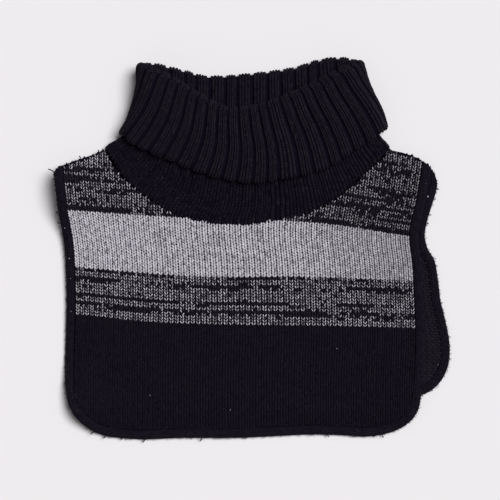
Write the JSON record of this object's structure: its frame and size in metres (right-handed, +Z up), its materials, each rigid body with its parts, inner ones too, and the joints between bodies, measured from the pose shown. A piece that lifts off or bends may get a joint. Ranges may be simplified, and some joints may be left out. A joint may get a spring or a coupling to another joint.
{
  "type": "neck warmer",
  "caption": "Knitted neck warmer laid flat: black ribbed roll collar folded outwards on a striped front bib and a plain black back bib, both with a narrow knitted edge band.",
  "frame": {"origin": "below the middle of the whole object, on the surface that it lies on", "axes": "+X across the bibs, to the right in the picture; +Y from the hem to the collar; +Z up from the surface, from the back bib to the front bib"},
  "size_m": [0.3142, 0.303, 0.032],
  "materials": {
    "black_rib": "matte",
    "striped_knit": "matte",
    "black_knit": "matte",
    "black_trim": "matte"
  },
  "bodies": {
    "root": {"rib_collar": "black_rib", "front_panel": "striped_knit", "back_panel": "black_knit", "front_trim": "black_trim", "back_trim": "black_trim"}
  },
  "joints": []
}
